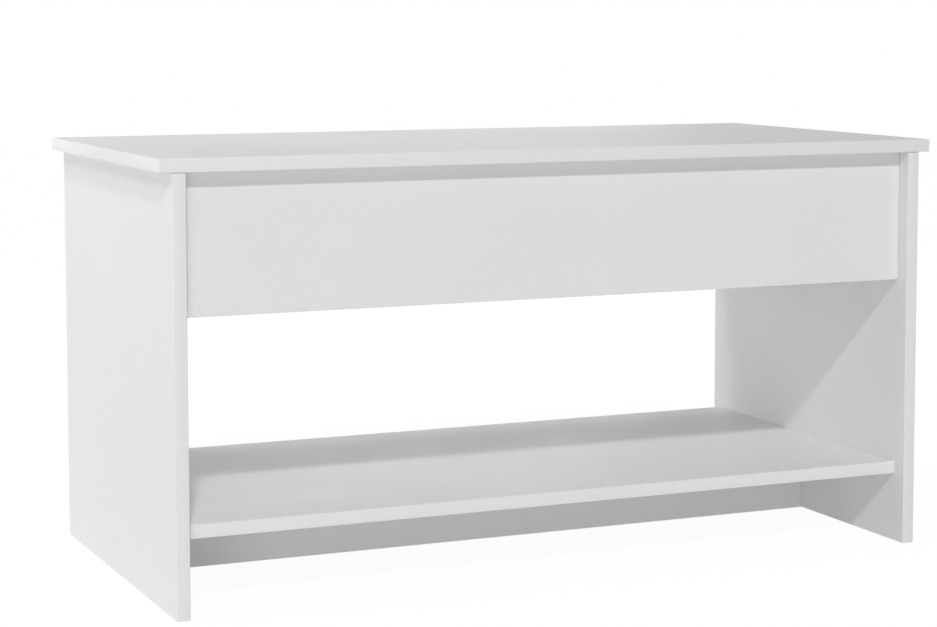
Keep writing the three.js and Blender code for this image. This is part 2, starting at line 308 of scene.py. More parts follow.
# zinc plate on pressed steel: rolled streaks, a faint spangle and handling marks
zincValues = {
    "light": (0.50, 0.505, 0.52),
    "dark": (0.35, 0.355, 0.37),
    "metallic": 0.9,
    "roughness": 0.30,
    "spangleScale": 130,
    "spangleShare": 0.35,
    "spangleHeight": 0.2,
    "streakScale": 700,
    "streakStretch": (1, 0.06, 1),
    "streakShare": 0.35,
    "streakRough": 0.12,
    "handlingScale": 45,
    "handlingRange": (0.5, 0.72),
    "handlingShare": 0.3,
    "handlingRough": 0.14,
    "depth": 0.00004,
    "strength": 0.4,
}


def makeZincPlate():
    values = zincValues
    material = bpy.data.materials.new("zinc_plated_steel")
    graph = Graph(material)
    spangle = graph.cells(values["spangleScale"])
    streak = graph.noise(values["streakScale"], 3, values["streakStretch"])
    handling = graph.spread(graph.noise(values["handlingScale"], 4), values["handlingRange"])
    tone = (spangle * values["spangleShare"] + streak * values["streakShare"]
            + handling * values["handlingShare"])
    roughness = (values["roughness"] + streak * values["streakRough"]
                 + handling * values["handlingRough"])
    height = streak + spangle * values["spangleHeight"]
    graph.surface({
        "Base Color": graph.mix(tone, values["light"], values["dark"]),
        "Metallic": values["metallic"],
        "Roughness": roughness,
        "Normal": graph.bump(height, values["depth"], values["strength"]),
    })
    return material


# drawn spring wire, darker where its oil has stayed
wireValues = {
    "light": (0.50, 0.51, 0.53),
    "dark": (0.24, 0.245, 0.26),
    "metallic": 0.95,
    "roughness": 0.26,
    "oilScale": 110,
    "oilRange": (0.42, 0.68),
    "oilRough": 0.14,
    "drawnScale": 1500,
    "drawnRough": 0.08,
    "depth": 0.00004,
    "strength": 0.3,
}


def makeWire():
    values = wireValues
    material = bpy.data.materials.new("spring_wire")
    graph = Graph(material)
    oil = graph.spread(graph.noise(values["oilScale"], 4), values["oilRange"])
    drawn = graph.noise(values["drawnScale"], 2)
    graph.surface({
        "Base Color": graph.mix(oil, values["light"], values["dark"]),
        "Metallic": values["metallic"],
        "Roughness": values["roughness"] + oil * values["oilRough"] + drawn * values["drawnRough"],
        "Normal": graph.bump(drawn, values["depth"], values["strength"]),
    })
    return material


# die-cast zinc: satin, lightly pitted, dull where it has been handled
castValues = {
    "light": (0.58, 0.59, 0.60),
    "dark": (0.40, 0.41, 0.42),
    "metallic": 0.85,
    "roughness": 0.42,
    "pitScale": 1100,
    "pitRange": (0.55, 0.75),
    "pitShare": 0.3,
    "pitDepth": 0.00006,
    "pitStrength": 0.6,
    "dullScale": 180,
    "dullRange": (0.4, 0.7),
    "dullShare": 0.7,
    "dullRough": 0.16,
}


def makeCastZinc():
    values = castValues
    material = bpy.data.materials.new("die_cast_zinc")
    graph = Graph(material)
    pits = graph.spread(graph.noise(values["pitScale"], 3), values["pitRange"])
    dull = graph.spread(graph.noise(values["dullScale"], 3), values["dullRange"])
    tone = dull * values["dullShare"] + pits * values["pitShare"]
    graph.surface({
        "Base Color": graph.mix(tone, values["light"], values["dark"]),
        "Metallic": values["metallic"],
        "Roughness": values["roughness"] + dull * values["dullRough"],
        "Normal": graph.bump(1 - pits, values["pitDepth"], values["pitStrength"]),
    })
    return material


boardFinishes = [makeFacing(), makeBand(), makeCore()]
facingIndex, bandIndex, coreIndex = range(3)
zincPlate = makeZincPlate()
springWire = makeWire()
castZinc = makeCastZinc()
print("finishes made")


# helpers for working by hand: one object at a time, one selection at a time
samePlace = 0.02 * mm
weldDistance = 0.01 * mm


def near(first, second):
    return abs(first - second) < samePlace


def makeActive(piece):
    bpy.ops.object.select_all(action="DESELECT")
    piece.select_set(True)
    bpy.context.view_layer.objects.active = piece


def addPrimitive(kind, name, finishes, **settings):
    bpy.ops.object.select_all(action="DESELECT")
    getattr(bpy.ops.mesh, f"primitive_{kind}_add")(**settings)
    piece = bpy.context.object
    piece.name = name
    piece.data.name = name
    bpy.ops.object.transform_apply(location=True, rotation=True, scale=True)
    for finish in finishes:
        piece.data.materials.append(finish)
    return piece


# a flat blank, sized and then set in place, because a plane takes no scale of its own
def addBlank(name, finish, centre, length, width):
    blank = addPrimitive("plane", name, [finish], size=1)
    bpy.ops.transform.resize(value=(length, width, 1))
    bpy.ops.transform.translate(value=centre)
    bpy.ops.object.transform_apply(location=True, rotation=True, scale=True)
    return blank


def startEdit(piece):
    makeActive(piece)
    bpy.ops.object.mode_set(mode="EDIT")
    bpy.ops.mesh.select_all(action="SELECT")


def endEdit():
    bpy.ops.mesh.select_all(action="SELECT")
    bpy.ops.mesh.normals_make_consistent(inside=False)
    bpy.ops.object.mode_set(mode="OBJECT")


def selectWhere(piece, kind, test):
    bpy.ops.mesh.select_mode(type=kind)
    bpy.ops.mesh.select_all(action="DESELECT")
    shape = bmesh.from_edit_mesh(piece.data)
    for item in {"VERT": shape.verts, "EDGE": shape.edges, "FACE": shape.faces}[kind]:
        if test(item):
            item.select_set(True)
    shape.select_flush_mode()
    bmesh.update_edit_mesh(piece.data)


# true for an edge or face whose corners all lie at one place along an axis
def liesAt(item, axis, place):
    return all(near(corner.co[axis], place) for corner in item.verts)


def pull(x, y, z):
    bpy.ops.mesh.extrude_region_move(TRANSFORM_OT_translate={"value": (x, y, z)})


def applyModifier(piece, kind, **settings):
    makeActive(piece)
    bpy.ops.object.modifier_add(type=kind)
    modifier = piece.modifiers[-1]
    for name, value in settings.items():
        setattr(modifier, name, value)
    bpy.ops.object.modifier_apply(modifier=modifier.name)


def joined(pieces):
    makeActive(pieces[0])
    for piece in pieces:
        piece.select_set(True)
    if len(pieces) > 1:
        bpy.ops.object.join()
    return pieces[0]


def cutAway(piece, cutters):
    cutter = joined(cutters)
    applyModifier(piece, "BOOLEAN", operation="DIFFERENCE", solver="EXACT", object=cutter)
    bpy.data.objects.remove(cutter)


turnsTo = {"X": (0, quarterTurn, 0), "Y": (quarterTurn, 0, 0), "Z": (0, 0, 0)}
holeSides = 40
creaseAngle = 38  # degrees, above which an edge stays sharp


def holeCutter(axis, centre, radius, reach, finishes=(), index=0):
    cutter = addPrimitive("cylinder", "hole_cutter", finishes, vertices=holeSides, radius=radius,
                          depth=reach, location=centre, rotation=turnsTo[axis])
    for face in cutter.data.polygons:
        face.material_index = index
    return cutter


def smoothed(piece, degrees=creaseAngle):
    makeActive(piece)
    bpy.ops.object.shade_smooth_by_angle(angle=math.radians(degrees))


def copyAt(piece, name, move):
    twin = piece.copy()
    twin.data = piece.data.copy()
    twin.name = name
    twin.data.name = name
    bpy.context.scene.collection.objects.link(twin)
    twin.data.transform(move)
    if move.determinant() < 0:
        twin.data.flip_normals()
    return twin


# a finished piece takes its node's place and its body
def standFor(piece, node):
    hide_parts(node)
    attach(piece, frame["nodes"][node]["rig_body"])


def middleOf(node):
    low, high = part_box(node)
    return (low + high) / 2


# the pieces of both sides, from the right-hand one and its node's name without the side
def standBothSides(piece, nodeStart, nodeEnd, kind):
    for side in sideNames:
        node = f"{nodeStart}_{side}{nodeEnd}"
        move = Matrix.Identity(4) if side == "right" else mirrorAcross
        standFor(copyAt(piece, f"{node}_{kind}", move), node)
    bpy.data.objects.remove(piece)


# a turned piece along +Z: each step is pulled out and drawn in or out; steps are (radius, height) in mm
def turnPiece(name, finish, steps, sides=36):
    radius, height = steps[0]
    piece = addPrimitive("circle", name, [finish], vertices=sides, radius=radius * mm,
                         fill_type="NGON", location=(0, 0, height * mm))
    startEdit(piece)
    for nextRadius, nextHeight in steps[1:]:
        pull(0, 0, (nextHeight - height) * mm)
        share = nextRadius / radius
        centre = (0, 0, nextHeight * mm)
        bpy.ops.transform.resize(value=(share, share, 1), center_override=centre)
        radius, height = nextRadius, nextHeight
    endEdit()
    return piece


# boards
boardValues = {
    "edgeRound": 0.5 * mm,
    "roundSteps": 3,
    "bandWidth": 0.8 * mm,  # band seen from the face, rounded edge included
    "seamWidth": 0.14 * mm,
    "seamDepth": 0.09 * mm,
    "sawAllowance": 12 * mm,  # cut off a butted end, so that its bands run out square
    "pocketGap": 0.3 * mm,
    "pilotRadius": 2.2 * mm,
    "pilotDepth": 13 * mm,
}


def makeBoard(node, sawnEnds):
    values = boardValues
    low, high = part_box(node)
    spare = Vector((values["sawAllowance"], 0, 0)) if sawnEnds else Vector()
    size = high - low + 2 * spare
    board = addPrimitive("cube", f"{node}_board", boardFinishes, size=1, location=(low + high) / 2,
                         scale=size)
    largest = size.x * size.y * size.z / min(size)
    startEdit(board)
    bpy.ops.mesh.bevel(offset=values["edgeRound"], segments=values["roundSteps"], affect="EDGES")
    selectWhere(board, "FACE", lambda face: face.calc_area() > largest / 2)
    half = values["seamWidth"] / 2
    bpy.ops.mesh.inset(thickness=values["bandWidth"] - values["edgeRound"])
    bpy.ops.mesh.inset(thickness=half, depth=-values["seamDepth"])
    bpy.ops.mesh.inset(thickness=half, depth=values["seamDepth"])
    if sawnEnds:
        for end, outward in ((low, -1), (high, 1)):
            bpy.ops.mesh.select_all(action="SELECT")
            bpy.ops.mesh.bisect(plane_co=end, plane_no=(outward, 0, 0), use_fill=True, clear_outer=True)
    endEdit()
    for face in board.data.polygons:
        sawn = sawnEnds and near(abs(face.center.x), high.x)
        broad = face.area > largest / 2
        face.material_index = coreIndex if sawn else facingIndex if broad else bandIndex
    return board


# pockets for the cam locks that belong to a board
def camPockets(node):
    values = boardValues
    cutters = []
    for cam in sorted(frame["nodes"]):
        if cam.startswith(f"{node}_cam_"):
            low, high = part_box(cam)
            size = high - low
            axis = "XYZ"[min(range(3), key=lambda place: size[place])]
            radius = max(size) / 2 + values["pocketGap"]
            reach = min(size) + 2 * values["pocketGap"]
            cutters.append(holeCutter(axis, (low + high) / 2, radius, reach, boardFinishes, coreIndex))
    return cutters


# pilot holes for the wood screws whose nodes start with a name
def pilotHoles(axis, nodeStart, facePlace):
    values = boardValues
    place = "XYZ".index(axis)
    cutters = []
    for screw in sorted(frame["nodes"]):
        if screw.startswith(nodeStart):
            centre = middleOf(screw)
            centre[place] = facePlace
            cutters.append(holeCutter(axis, centre, values["pilotRadius"], 2 * values["pilotDepth"],
                                      boardFinishes, coreIndex))
    return cutters


def addBoards():
    for node in ("front_apron", "back_apron", "storage_floor", "lower_shelf", "kick_board"):
        board = makeBoard(node, True)
        cutAway(board, camPockets(node))
        smoothed(board)
        standFor(board, node)
    top = makeBoard("top_panel", False)
    cutAway(top, pilotHoles("Z", "top_screw_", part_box("top_panel")[0].z))
    smoothed(top)
    standFor(top, "top_panel")
    for side in sideNames:
        node = f"side_panel_{side}"
        low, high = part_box(node)
        inner = low.x if side == "right" else high.x
        panel = makeBoard(node, False)
        cutAway(panel, pilotHoles("X", f"base_screw_{side}_", inner))
        smoothed(panel)
        standFor(panel, node)


addBoards()
print("boards made")


# cam locks, turned from their faces: a rim, a cross slot and a pointer notch
camValues = {
    "steps": [(7.0, 0), (7.5, 0.4), (7.5, 2.4), (7.0, 2.7), (7.0, 11.4), (6.6, 11.8)],
    "slotLength": 8.6 * mm,
    "slotWidth": 1.6 * mm,
    "slotDepth": 3.2 * mm,
    "eyeRadius": 2.2 * mm,
    "pointerRadius": 0.9 * mm,
    "pointerDepth": 0.5 * mm,
    "pointerPlace": 5.6 * mm,
    "ringRadius": 6.3 * mm,
    "ringWidth": 0.3 * mm,
}
# the way each board's locks face into it
camDirections = {
    "front_apron": (0, -1, 0),
    "back_apron": (0, 1, 0),
    "storage_floor": (0, 0, 1),
    "lower_shelf": (0, 0, 1),
    "kick_board": (0, -1, 0),
}


def makeCam():
    values = camValues
    lock = turnPiece("cam_lock", castZinc, values["steps"])
    startEdit(lock)
    selectWhere(lock, "FACE", lambda face: liesAt(face, 2, 0))
    bpy.ops.mesh.inset(thickness=values["steps"][0][0] * mm - values["ringRadius"])
    bpy.ops.mesh.inset(thickness=values["ringWidth"] / 2, depth=-values["ringWidth"])
    bpy.ops.mesh.inset(thickness=values["ringWidth"] / 2, depth=values["ringWidth"])
    endEdit()
    for turn in (0, quarterTurn):
        size = (values["slotLength"], values["slotWidth"], 2 * values["slotDepth"])
        cutAway(lock, [addPrimitive("cube", "slot_cutter", [], size=1, scale=size, rotation=(0, 0, turn))])
    cutAway(lock, [holeCutter("Z", (0, 0, 0), values["eyeRadius"], 2 * values["slotDepth"])])
    pointer = addPrimitive("cylinder", "pointer_cutter", [], vertices=3, radius=values["pointerRadius"],
                           depth=2 * values["pointerDepth"], location=(0, values["pointerPlace"], 0))
    cutAway(lock, [pointer])
    smoothed(lock)
    return lock


def addCams():
    lock = makeCam()
    for board, direction in camDirections.items():
        inward = Vector(direction)
        turned = inward.to_track_quat("Z", "Y").to_matrix().to_4x4()
        for node in sorted(frame["nodes"]):
            if node.startswith(f"{board}_cam_"):
                low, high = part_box(node)
                face = (low + high) / 2 - inward * min(high - low) / 2
                copy = copyAt(lock, f"{node}_lock", Matrix.Translation(face) @ turned)
                standFor(copy, node)
    bpy.data.objects.remove(lock)


addCams()
print("cam locks made")


# brackets: sheet steel, folded, thickened inwards, drilled and deburred
bracketValues = {
    "steel": 2 * mm,
    "bend": 3.4 * mm,
    "bendSteps": 6,
    "wallCorner": 9 * mm,
    "flangeCorner": 5 * mm,
    "cornerSteps": 8,
    "deburr": 0.22 * mm,
    "deburrSteps": 2,
    "deburrAngle": 50,  # degrees, above which an edge is deburred
    "drillSpare": 2 * mm,  # a drill's reach past the far side
    "pinHole": 3.2 * mm,
    "screwHole": 2.2 * mm,
    "driverHole": 5.5 * mm,
    "spareHoleInset": 22 * mm,  # from the top bracket's back end
}


def alongY(edge):
    return near(edge.verts[0].co.x, edge.verts[1].co.x) and near(edge.verts[0].co.z, edge.verts[1].co.z)


def thicken(piece, outward):
    values = bracketValues
    applyModifier(piece, "SOLIDIFY", thickness=values["steel"], offset=outward, use_even_offset=True)


def deburr(piece):
    values = bracketValues
    applyModifier(piece, "BEVEL", width=values["deburr"], segments=values["deburrSteps"],
                  limit_method="ANGLE", angle_limit=math.radians(values["deburrAngle"]),
                  use_clamp_overlap=True)


def crossHole(node, nearX, farX, radius):
    centre = middleOf(node)
    centre.x = (nearX + farX) / 2
    return holeCutter("X", centre, radius, farX - nearX + bracketValues["drillSpare"])


def makeBaseBracket():
    values = bracketValues
    low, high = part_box("base_bracket_right")
    steel = values["steel"]
    centre = ((low.x + high.x) / 2, (low.y + high.y) / 2, low.z)
    channel = addBlank("base_bracket", zincPlate, centre, high.x - low.x, high.y - low.y)
    startEdit(channel)
    selectWhere(channel, "EDGE", alongY)
    pull(0, 0, high.z - low.z)
    selectWhere(channel, "EDGE", lambda edge: alongY(edge) and liesAt(edge, 2, low.z))
    bpy.ops.mesh.bevel(offset=values["bend"], segments=values["bendSteps"], affect="EDGES")
    selectWhere(channel, "VERT", lambda vertex: near(vertex.co.z, high.z))
    bpy.ops.mesh.bevel(offset=values["wallCorner"], segments=values["cornerSteps"], affect="VERTICES")
    endEdit()
    thicken(channel, -1)
    cutters = [crossHole(f"base_pin_{end}_right", low.x, high.x, values["pinHole"])
               for end in ("front", "rear")]
    for node in ("raise_stop_right", "spring_anchor_right"):
        cutters.append(crossHole(node, low.x, low.x + steel, values["pinHole"]))
    for number in (1, 2):
        screw = f"base_screw_right_{number}"
        cutters.append(crossHole(screw, low.x, low.x + steel, values["driverHole"]))
        cutters.append(crossHole(screw, high.x - steel, high.x, values["screwHole"]))
    cutAway(channel, cutters)
    deburr(channel)
    smoothed(channel)
    return channel


def makeTopBracket():
    values = bracketValues
    low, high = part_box("top_bracket_right")
    steel = values["steel"]
    centre = ((low.x + high.x) / 2, (low.y + high.y) / 2, high.z)
    angle = addBlank("top_bracket", zincPlate, centre, high.x - low.x, high.y - low.y)
    startEdit(angle)
    selectWhere(angle, "EDGE", lambda edge: liesAt(edge, 0, high.x))
    pull(0, 0, low.z - high.z)
    selectWhere(angle, "EDGE", lambda edge: liesAt(edge, 0, high.x) and liesAt(edge, 2, high.z))
    bpy.ops.mesh.bevel(offset=values["bend"], segments=values["bendSteps"], affect="EDGES")
    selectWhere(angle, "VERT", lambda vertex: near(vertex.co.z, low.z))
    bpy.ops.mesh.bevel(offset=values["wallCorner"], segments=values["cornerSteps"], affect="VERTICES")
    selectWhere(angle, "VERT", lambda vertex: near(vertex.co.x, low.x))
    bpy.ops.mesh.bevel(offset=values["flangeCorner"], segments=values["cornerSteps"], affect="VERTICES")
    endEdit()
    thicken(angle, -1)
    cutters = [crossHole(f"top_rivet_{end}_right", high.x - steel, high.x, values["pinHole"])
               for end in ("front", "rear")]
    spare = middleOf("top_rivet_rear_right")
    spare.y = high.y - values["spareHoleInset"]
    cutters.append(holeCutter("X", spare, values["pinHole"], 6 * steel))
    for number in (1, 2, 3):
        centre = middleOf(f"top_screw_right_{number}")
        centre.z = high.z
        cutters.append(holeCutter("Z", centre, values["screwHole"], 4 * steel))
    cutAway(angle, cutters)
    deburr(angle)
    smoothed(angle)
    return angle


standBothSides(makeBaseBracket(), "base_bracket", "", "channel")
standBothSides(makeTopBracket(), "top_bracket", "", "angle")
print("brackets made")


# lifting arms: pressed trays with a rim all round
armValues = {
    "width": 20 * mm,
    "steel": 2 * mm,
    "endSteps": 14,
    "webRound": 1.6 * mm,
    "lipRound": 0.5 * mm,
    "floorRound": 0.9 * mm,
    "roundSteps": 3,
    "hole": 3.2 * mm,
}


def makeArm(label, holeNodes):
    values = armValues
    lower = middleOf(f"base_pin_{label}_right")
    upper = middleOf(f"top_rivet_{label}_right")
    low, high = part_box(f"{label}_arm_right")
    depth = high.x - low.x
    steel = values["steel"]
    along = Vector((0, upper.y - lower.y, upper.z - lower.z))
    length = along.length
    centre = (length / 2, 0, 0)
    bar = addBlank(f"{label}_arm", zincPlate, centre, length + values["width"], values["width"])
    startEdit(bar)
    bpy.ops.mesh.bevel(offset=values["width"] / 2, segments=values["endSteps"], affect="VERTICES",
                       clamp_overlap=True)
    bpy.ops.mesh.select_all(action="SELECT")
    bpy.ops.mesh.remove_doubles(threshold=weldDistance)
    pull(0, 0, depth)
    selectWhere(bar, "FACE", lambda face: liesAt(face, 2, depth))
    bpy.ops.mesh.inset(thickness=steel)
    pull(0, 0, steel - depth)
    rounds = ((0, values["webRound"]), (depth, values["lipRound"]), (steel, values["floorRound"]))
    for height, size in rounds:
        selectWhere(bar, "EDGE", lambda edge: liesAt(edge, 2, height))
        bpy.ops.mesh.bevel(offset=size, segments=values["roundSteps"], affect="EDGES")
    endEdit()
    ahead = along.normalized()
    axes = Matrix((ahead, (0, -ahead.z, ahead.y), (1, 0, 0))).transposed().to_4x4()
    foot = Vector((low.x, lower.y, lower.z))
    bar.data.transform(Matrix.Translation(foot) @ axes)
    cutAway(bar, [crossHole(node, low.x, low.x + steel, values["hole"]) for node in holeNodes])
    smoothed(bar)
    return bar


def addArms():
    for label, extra in (("front", ["spring_stud_right"]), ("rear", [])):
        pivots = [f"base_pin_{label}_right", f"top_rivet_{label}_right"]
        arm = makeArm(label, pivots + extra)
        standBothSides(arm, f"{label}_arm", "", "tray")


addArms()
print("arms made")


# rivets, pins and spring posts: steps are (radius, distance from the table's middle) in mm
pinValues = {
    "shank": 3.0,
    "shoulder": 6.0,
    "post": 4.5,
    "groove": 2.75,
    "grooveHalf": 1.6,
    "chamfer": 0.6,
    "shoulderChamfer": 0.4,
    "stopChamfer": 0.5,
    "pinRecess": 0.1,  # a base pin's end, inside the bracket's outer face
    "postTip": [(3.3, 0), (4.2, 0.25), (4.5, 0.8)],  # rounded end of a spring's post
    "headSteps": [(4.5, 0), (4.5, 0.5), (4.2, 1.0), (3.5, 1.35), (2.4, 1.55), (1.2, 1.6)],  # domed head
}


# a domed head beyond a face, as steps away from the middle or, turned round, towards it
def headAfter(face):
    return [(radius, face + height) for radius, height in pinValues["headSteps"]]


def headBefore(face):
    return [(radius, face - height) for radius, height in reversed(pinValues["headSteps"])]


def makeAcross(name, node, steps):
    pin = turnPiece(name, zincPlate, steps)
    centre = middleOf(node)
    turned = Matrix.Rotation(quarterTurn, 4, "Y")
    pin.data.transform(Matrix.Translation((0, centre.y, centre.z)) @ turned)
    smoothed(pin)
    return pin


def springPostSteps(node, plateNear, plateFar):
    values = pinValues
    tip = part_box(node)[0].x / mm
    groove = middleOf("spring_right").x / mm
    grooveNear = groove - values["grooveHalf"]
    grooveFar = groove + values["grooveHalf"]
    post = values["post"]
    return [
        *[(radius, tip + height) for radius, height in values["postTip"]],
        (post, grooveNear - values["chamfer"]),
        (values["groove"], grooveNear),
        (values["groove"], grooveFar),
        (post, grooveFar + values["chamfer"]),
        (post, plateNear),
        (values["shank"], plateNear),
        (values["shank"], plateFar),
        *headAfter(plateFar),
    ]


def addPins():
    values = pinValues
    shank = values["shank"]
    shoulder = values["shoulder"]
    chamfer = values["shoulderChamfer"]
    steel = bracketValues["steel"] / mm
    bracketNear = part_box("base_bracket_right")[0].x / mm
    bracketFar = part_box("base_bracket_right")[1].x / mm
    wallNear = bracketFar - steel
    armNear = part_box("front_arm_right")[0].x / mm
    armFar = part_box("front_arm_right")[1].x / mm
    webFar = armNear + steel
    inner = [*headBefore(bracketNear), (shank, bracketNear)]
    basePin = [*inner, (shank, webFar), (shoulder - chamfer, webFar), (shoulder, webFar + chamfer),
               (shoulder, wallNear - chamfer), (shoulder - chamfer, wallNear), (shank, wallNear),
               (shank, bracketFar - values["pinRecess"])]
    topRivet = [*inner, (shank, webFar), *headAfter(webFar)]
    stopEnd = values["stopChamfer"]
    stop = [*inner, (shank, armFar - stopEnd), (shank - stopEnd, armFar)]
    for end in ("front", "rear"):
        for kind, steps in (("base_pin", basePin), ("top_rivet", topRivet)):
            pin = makeAcross(kind, f"{kind}_{end}_right", steps)
            standBothSides(pin, f"{kind}_{end}", "", "turned")
    pin = makeAcross("raise_stop", "raise_stop_right", stop)
    standBothSides(pin, "raise_stop", "", "turned")
    plates = (("spring_stud", armNear, webFar), ("spring_anchor", bracketNear, bracketNear + steel))
    for kind, plateNear, plateFar in plates:
        steps = springPostSteps(f"{kind}_right", plateNear, plateFar)
        standBothSides(makeAcross(kind, f"{kind}_right", steps), kind, "", "turned")


addPins()
print("pins made")


# wood screws: pan head with a cross recess, plain neck, and a rolled thread down to the point
screwValues = {
    "steps": [(1.6, -2.1), (2.7, -2.0), (3.6, -1.6), (4.1, -0.9), (4.2, -0.2), (4.1, 0), (1.75, 0),
              (1.7, 2.6), (1.25, 3.1), (1.25, 11.6), (0.3, 14.0), (0.1, 14.3)],
    "sides": 28,
    "threadStart": 2.9 * mm,
    "threadPitch": 1.25 * mm,
    "threadTurns": 7,
    "threadSteps": 18,
    "ridge": 0.42 * mm,  # radius of the three-cornered ridge
    "ridgePlace": 1.45 * mm,
    "ridgeWeld": 0.001 * mm,
    "ridgeSpare": 0.05 * mm,  # room round the ends when they are picked out
    "recessLength": 3.6 * mm,
    "recessWidth": 0.8 * mm,
    "recessDepth": 1.3 * mm,
}


def makeThread():
    values = screwValues
    ridge = addPrimitive("circle", "thread", [zincPlate], vertices=3, radius=values["ridge"],
                         location=(values["ridgePlace"], 0, values["threadStart"]),
                         rotation=(quarterTurn, quarterTurn, 0))
    applyModifier(ridge, "SCREW", axis="Z", angle=2 * math.pi, screw_offset=values["threadPitch"],
                  iterations=values["threadTurns"], steps=values["threadSteps"],
                  render_steps=values["threadSteps"], use_merge_vertices=True)
    startEdit(ridge)
    bpy.ops.mesh.remove_doubles(threshold=values["ridgeWeld"])
    endSize = values["ridge"] + values["ridgeSpare"]
    startZ = values["threadStart"] + endSize
    endZ = startZ + values["threadTurns"] * values["threadPitch"] - 2 * endSize
    for atEnd in (lambda corner: corner.co.z < startZ, lambda corner: corner.co.z > endZ):
        selectWhere(ridge, "EDGE", lambda edge: edge.is_boundary and all(map(atEnd, edge.verts)))
        bpy.ops.mesh.edge_face_add()
    endEdit()
    return ridge


def makeScrew():
    values = screwValues
    screw = turnPiece("wood_screw", zincPlate, values["steps"], values["sides"])
    top = values["steps"][0][1] * mm
    for turn in (0, quarterTurn):
        size = (values["recessLength"], values["recessWidth"], 2 * values["recessDepth"])
        cutAway(screw, [addPrimitive("cube", "recess_cutter", [], size=1, location=(0, 0, top), scale=size,
                                     rotation=(0, 0, turn))])
    screw = joined([screw, makeThread()])
    smoothed(screw)
    return screw


def addScrews():
    screw = makeScrew()
    head = -screwValues["steps"][0][1] * mm
    for node in sorted(frame["nodes"]):
        if "_screw_" in node:
            low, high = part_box(node)
            inward = Vector((0, 0, 1))
            if node.startswith("base_screw_"):
                inward = Vector((math.copysign(1, low.x), 0, 0))
            turned = inward.to_track_quat("Z", "Y").to_matrix().to_4x4()
            bearing = (low + high) / 2 - inward * (max(high - low) / 2 - head)
            copy = copyAt(screw, f"{node}_threaded", Matrix.Translation(bearing) @ turned)
            standFor(copy, node)
    bpy.data.objects.remove(screw)


addScrews()
print("screws made")


# extension springs, closed: one wire from the anchor's hook through the coil to the stud's hook
springValues = {
    "wireRadius": 1.1 * mm,
    "wireRounding": 2,
    "coilRadius": 7.85 * mm,  # to the wire's centre line
    "turns": 57,
    "turnSteps": 16,
    "hookReach": 12 * mm,  # from a post's centre to the first turn
    "hookAlong": 5.2 * mm,
    "hookAcross": 3.95 * mm,
    "hookOpening": 62,  # degrees from the spring's line to the cut end of the wire
    "hookSteps": 22,
    "leadSteps": 9,
    "leadLean": 0.1,  # how far the lead already runs along the spring where it joins the coil
    "creaseAngle": 60,
}


# a smooth lead from one point and direction to another
def leadPoints(start, startWay, end, endWay, steps):
    points = []
    for step in range(1, steps):
        t = step / steps
        points.append(start * (2 * t**3 - 3 * t**2 + 1) + startWay * (t**3 - 2 * t**2 + t)
                      + end * (3 * t**2 - 2 * t**3) + endWay * (t**3 - t**2))
    return points


# hook and lead at a post at the origin, in (along, across, sideways), up to the coil's first point
def hookPoints():
    values = springValues
    opening = math.radians(values["hookOpening"])
    sweep = 2 * (math.pi - opening)
    points = []
    for step in range(values["hookSteps"] + 1):
        angle = opening + sweep * step / values["hookSteps"]
        along = values["hookAlong"] * math.cos(angle)
        across = values["hookAcross"] * math.sin(angle)
        points.append(Vector((along, across, 0)))
    leaving = (points[-1] - points[-2]).normalized() * values["hookReach"]
    joining = Vector((values["leadLean"], 0, 1)) * values["coilRadius"]
    first = Vector((values["hookReach"], values["coilRadius"], 0))
    return points + leadPoints(points[-1], leaving, first, joining, values["leadSteps"])


def springPoints(length):
    values = springValues
    hook = hookPoints()
    coilLength = length - 2 * values["hookReach"]
    count = values["turns"] * values["turnSteps"]
    coil = []
    for step in range(count + 1):
        angle = 2 * math.pi * step / values["turnSteps"]
        along = values["hookReach"] + coilLength * step / count
        across = values["coilRadius"] * math.cos(angle)
        sideways = values["coilRadius"] * math.sin(angle)
        coil.append(Vector((along, across, sideways)))
    farHook = [Vector((length - point.x, point.y, -point.z)) for point in reversed(hook)]
    return hook + coil + farHook


def makeSpring(anchor, stud):
    values = springValues
    line = bpy.data.curves.new("spring", "CURVE")
    line.dimensions = "3D"
    line.bevel_depth = values["wireRadius"]
    line.bevel_resolution = values["wireRounding"]
    line.use_fill_caps = True
    places = springPoints((stud - anchor).length)
    route = line.splines.new("POLY")
    route.points.add(len(places) - 1)
    for point, place in zip(route.points, places):
        point.co = (*place, 1)
    wire = bpy.data.objects.new("spring", line)
    bpy.context.scene.collection.objects.link(wire)
    makeActive(wire)
    bpy.ops.object.convert(target="MESH")
    wire = bpy.context.object
    wire.data.materials.append(springWire)
    ahead = (stud - anchor).normalized()
    axes = Matrix((ahead, (0, -ahead.z, ahead.y), (1, 0, 0))).transposed().to_4x4()
    wire.data.transform(Matrix.Translation(anchor) @ axes)
    startEdit(wire)
    bpy.ops.mesh.remove_doubles(threshold=weldDistance)
    endEdit()
    smoothed(wire, values["creaseAngle"])
    return wire


# where the stud comes to when the front arm has swung all the way up
def raisedPlace(point):
    lift = next(joint for joint in frame["joints"] if joint["name"] == "lift")
    pivot = middleOf("base_pin_front_right")
    swing = Matrix.Rotation(math.radians(max(lift["range_deg"])), 3, Vector(lift["axis"]))
    return pivot + swing @ (point - pivot)


def addSprings():
    groove = middleOf("spring_right").x
    anchor = middleOf("spring_anchor_right")
    stud = middleOf("spring_stud_right")
    anchor.x = groove
    stud.x = groove
    raised = raisedPlace(stud)
    raised.x = groove
    keep = (raised - anchor).length / (stud - anchor).length
    wire = makeSpring(anchor, stud)
    for side in sideNames:
        node = f"spring_{side}"
        move = Matrix.Identity(4) if side == "right" else mirrorAcross
        spring = copyAt(wire, f"{node}_wire", move)
        standFor(spring, node)
        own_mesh(spring)
    bpy.data.objects.remove(wire)
    print("springs keep", round(keep, 4), "of their length")


addSprings()
print("springs made")


